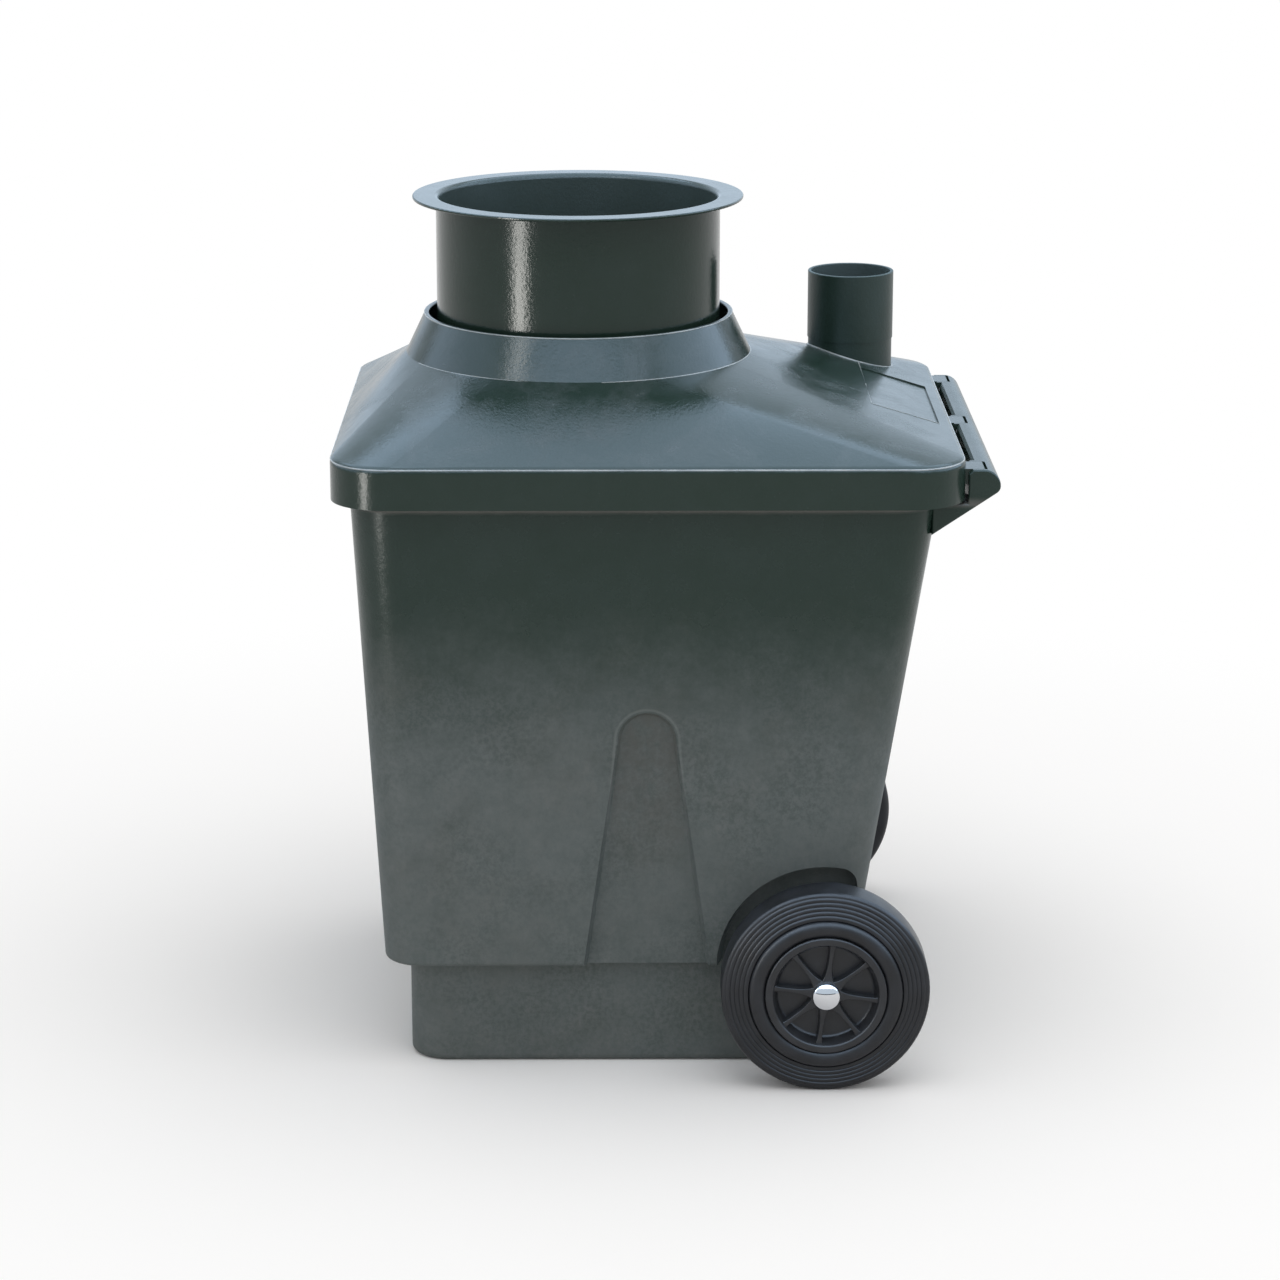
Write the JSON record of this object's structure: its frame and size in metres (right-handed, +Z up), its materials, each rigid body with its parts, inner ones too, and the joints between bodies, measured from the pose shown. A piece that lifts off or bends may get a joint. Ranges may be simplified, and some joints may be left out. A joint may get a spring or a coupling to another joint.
{
  "type": "wheeled dry toilet container",
  "caption": "Tapered plastic collecting container of a dry toilet on two wheels, with a hipped lid, flanged drop tube, ventilation stub and pull handle.",
  "frame": {"origin": "middle of the footprint box on the floor", "axes": "+Z up; the front faces -Y; the wheels and the pull handle are at +Y; +X is the wheel side seen in the picture"},
  "size_m": [0.792, 0.789, 1.0273],
  "materials": {
    "container_plastic": "moulded, dusty",
    "lid_plastic": "moulded, satin",
    "tube_plastic": "moulded, satin",
    "hub_plastic": "moulded",
    "tyre_rubber": "moulded",
    "cap_chrome": "polished",
    "axle_steel": "zinc plated",
    "pin_steel": "plain",
    "seal_rubber": "matte",
    "grate_plastic": "moulded",
    "fitting_plastic": "moulded"
  },
  "bodies": {
    "container": {"container": "container_plastic", "lid_seal": "seal_rubber", "hinge_pins": "pin_steel", "axle": "axle_steel", "axle_spacer_right": "fitting_plastic", "axle_spacer_left": "fitting_plastic", "axle_cap_right": "cap_chrome", "axle_cap_left": "cap_chrome", "drainage_grate": "grate_plastic", "drain_spigot": "fitting_plastic", "drain_gasket": "seal_rubber", "drain_locknut": "fitting_plastic"},
    "lid": {"lid": "lid_plastic", "tube_seal": "seal_rubber", "vent_stub": "tube_plastic", "vent_seal": "seal_rubber"},
    "drop_tube": {"drop_tube": "tube_plastic"},
    "wheel_right": {"wheel_hub_right": "hub_plastic", "tyre_right": "tyre_rubber"},
    "wheel_left": {"wheel_hub_left": "hub_plastic", "tyre_left": "tyre_rubber"}
  },
  "joints": [
    {"name": "lid_hinge", "type": "hinge", "parent": "container", "child": "lid", "pos_m": [0, 0.368, 0.735], "axis": [-1, 0, 0], "range_deg": [0, 100]},
    {"name": "tube_slide", "type": "slide", "parent": "lid", "child": "drop_tube", "axis": [0, 0, 1], "range_m": [-0.138, 0.07]},
    {"name": "wheel_right_spin", "type": "hinge", "parent": "container", "child": "wheel_right", "pos_m": [0.355, 0.1915, 0.125], "axis": [1, 0, 0], "continuous": true},
    {"name": "wheel_left_spin", "type": "hinge", "parent": "container", "child": "wheel_left", "pos_m": [-0.355, 0.1915, 0.125], "axis": [1, 0, 0], "continuous": true}
  ]
}
